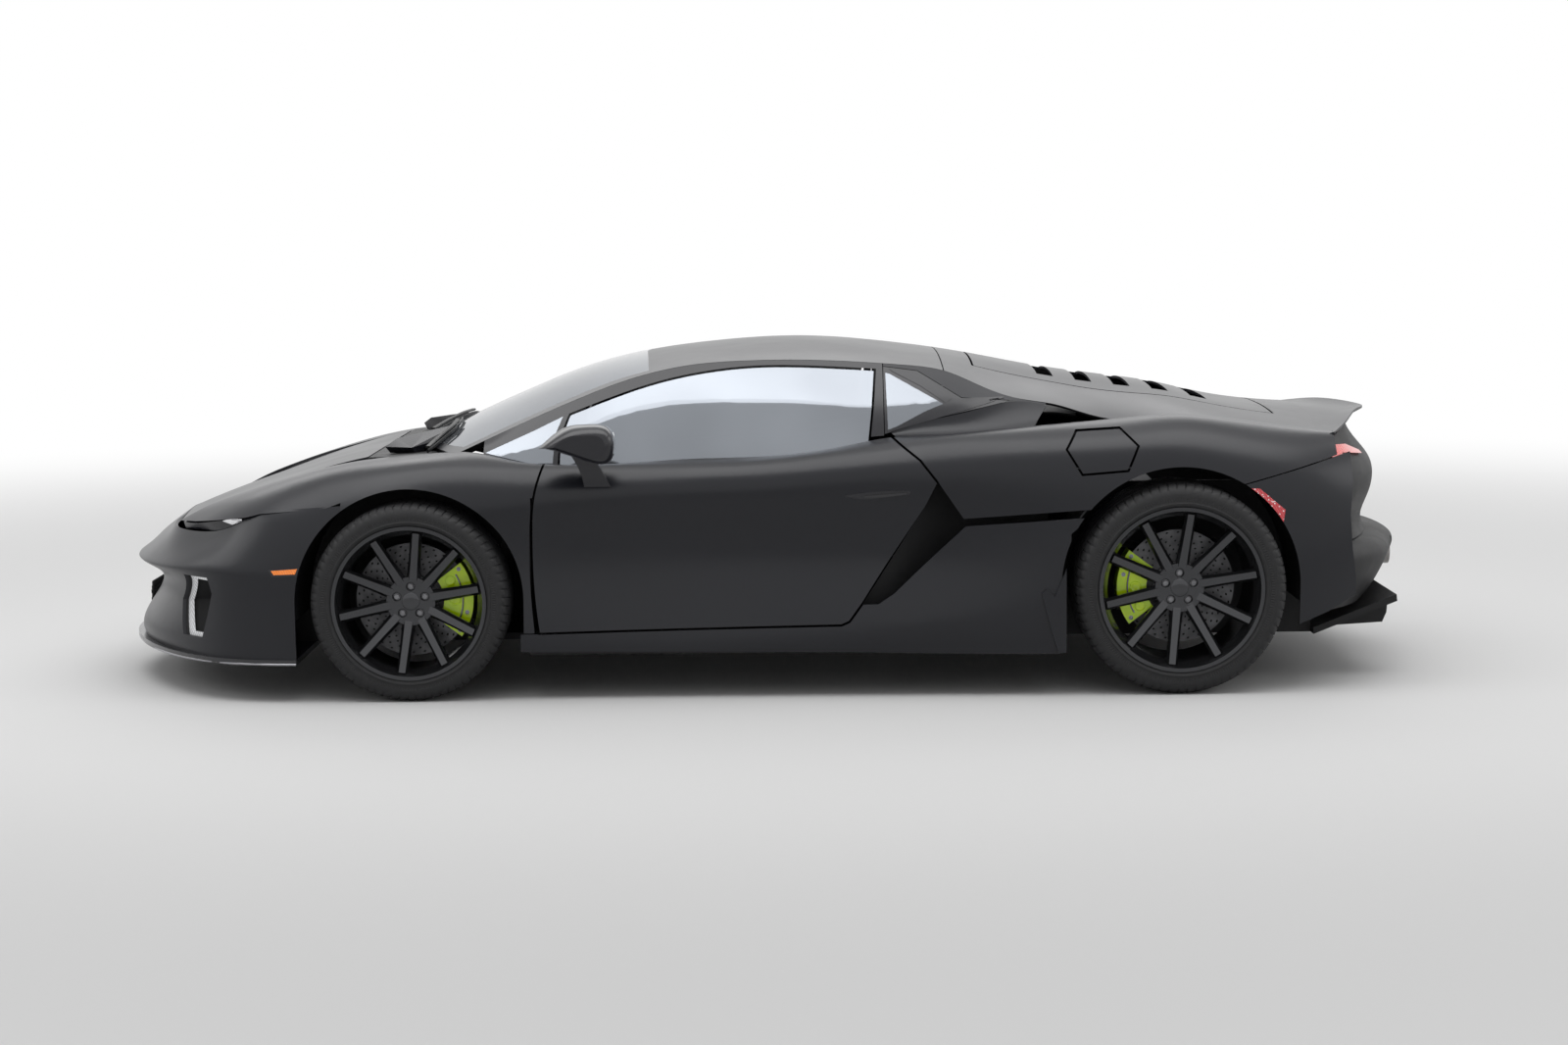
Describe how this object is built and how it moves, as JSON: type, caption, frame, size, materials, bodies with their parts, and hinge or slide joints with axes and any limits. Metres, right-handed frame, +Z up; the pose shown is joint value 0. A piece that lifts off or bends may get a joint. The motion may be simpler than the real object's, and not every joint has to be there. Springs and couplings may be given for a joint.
{
  "type": "mid-engined sports car",
  "caption": "Low wedge-shaped two-seat sports car with long doors, side intakes, a ducktail spoiler and spoked wheels; doors, lids, steering and wheels move.",
  "frame": {"origin": "on the ground under the middle of the car's length and width", "axes": "+X towards the tail, +Y towards the car's right side, +Z up"},
  "size_m": [4.7086, 2.216, 1.201],
  "materials": {
    "body_paint": "satin",
    "gloss_black": "gloss",
    "black_plastic": "matte",
    "tinted_glass": "clear",
    "tyre": "matte",
    "wheel_metal": "gloss",
    "brake_metal": "machined",
    "caliper_paint": "gloss",
    "steel": "brushed",
    "alloy": "cast",
    "cabin_trim": "matte",
    "lamp_red": "gloss",
    "lamp_amber": "gloss"
  },
  "bodies": {
    "body": {"calipers_rear": "caliper_paint", "cowl": "black_plastic", "dashboard": "cabin_trim", "diffuser": "black_plastic", "engine": "alloy", "exhausts": "steel", "fixed_side_glass": "tinted_glass", "frames": "black_plastic", "front_bumper": "body_paint", "front_fenders": "body_paint", "front_grilles": "black_plastic", "front_splitter": "black_plastic", "front_wishbones": "steel", "fuel_filler": "black_plastic", "headlamps": "gloss_black", "quarter_panel_left": "body_paint", "quarter_panel_right": "body_paint", "rear_bumper": "body_paint", "rear_deck": "body_paint", "rear_ledge": "black_plastic", "rear_suspension": "steel", "roof": "body_paint", "sail_panels": "body_paint", "seats": "cabin_trim", "side_intakes": "black_plastic", "side_markers": "lamp_amber", "side_skirts": "body_paint", "spoiler": "body_paint", "tail_lamps": "lamp_red", "tail_panel": "black_plastic", "tub": "black_plastic", "wheel_liners": "black_plastic", "window_frames": "gloss_black", "windscreen": "tinted_glass"},
    "bonnet": {"bonnet": "body_paint"},
    "engine_cover": {"engine_cover": "body_paint"},
    "fuel_flap": {"fuel_flap": "body_paint"},
    "door_left": {"door_left": "body_paint", "door_glass_left": "tinted_glass", "mirror_left": "gloss_black"},
    "door_right": {"door_right": "body_paint", "door_glass_right": "tinted_glass", "mirror_right": "gloss_black"},
    "knuckle_left": {"knuckle_left": "steel", "caliper_front_left": "caliper_paint"},
    "knuckle_right": {"knuckle_right": "steel", "caliper_front_right": "caliper_paint"},
    "wheel_front_left": {"rim_front_left": "wheel_metal", "tyre_front_left": "tyre", "brake_disc_front_left": "brake_metal"},
    "wheel_front_right": {"rim_front_right": "wheel_metal", "tyre_front_right": "tyre", "brake_disc_front_right": "brake_metal"},
    "wheel_rear_left": {"rim_rear_left": "wheel_metal", "tyre_rear_left": "tyre", "brake_disc_rear_left": "brake_metal"},
    "wheel_rear_right": {"rim_rear_right": "wheel_metal", "tyre_rear_right": "tyre", "brake_disc_rear_right": "brake_metal"},
    "steering_wheel": {"steering_wheel": "cabin_trim"}
  },
  "joints": [
    {"name": "steer_left", "type": "hinge", "parent": "body", "child": "knuckle_left", "pos_m": [-1.22, -0.8, 0.343], "axis": [0, 0, 1], "range_deg": [-30, 30]},
    {"name": "steer_right", "type": "hinge", "parent": "body", "child": "knuckle_right", "pos_m": [-1.22, 0.8, 0.343], "axis": [0, 0, 1], "range_deg": [-30, 30]},
    {"name": "steering_wheel_turn", "type": "hinge", "parent": "body", "child": "steering_wheel", "pos_m": [-0.33, -0.365, 0.73], "axis": [0.9135, 0, 0.4067], "range_deg": [-365, 365]},
    {"name": "spin_front_left", "type": "hinge", "parent": "knuckle_left", "child": "wheel_front_left", "pos_m": [-1.22, -0.861, 0.343], "axis": [0, 1, 0], "continuous": true},
    {"name": "spin_front_right", "type": "hinge", "parent": "knuckle_right", "child": "wheel_front_right", "pos_m": [-1.22, 0.861, 0.343], "axis": [0, 1, 0], "continuous": true},
    {"name": "spin_rear_left", "type": "hinge", "parent": "body", "child": "wheel_rear_left", "pos_m": [1.438, -0.835, 0.364], "axis": [0, 1, 0], "continuous": true},
    {"name": "spin_rear_right", "type": "hinge", "parent": "body", "child": "wheel_rear_right", "pos_m": [1.438, 0.835, 0.364], "axis": [0, 1, 0], "continuous": true},
    {"name": "door_left_hinge", "type": "hinge", "parent": "body", "child": "door_left", "pos_m": [-0.758, -0.922, 0.24], "axis": [0, 0, -1], "range_deg": [0, 60]},
    {"name": "door_right_hinge", "type": "hinge", "parent": "body", "child": "door_right", "pos_m": [-0.758, 0.922, 0.24], "axis": [0, 0, 1], "range_deg": [0, 60]},
    {"name": "bonnet_hinge", "type": "hinge", "parent": "body", "child": "bonnet", "pos_m": [-1.492, 0.43, 0.7658], "axis": [0, 1, 0], "range_deg": [0, 50]},
    {"name": "engine_cover_hinge", "type": "hinge", "parent": "body", "child": "engine_cover", "pos_m": [0.85, 0.33, 1.06204], "axis": [0, -1, 0], "range_deg": [0, 40]},
    {"name": "fuel_flap_hinge", "type": "hinge", "parent": "body", "child": "fuel_flap", "pos_m": [1.068, -0.97132, 0.785], "axis": [0.9999, -0.0142, 0], "range_deg": [0, 80]}
  ],
  "couplings": [
    {"joint": "steer_right", "follows": "steer_left", "ratio": 1},
    {"joint": "steering_wheel_turn", "follows": "steer_left", "ratio": 12}
  ]
}
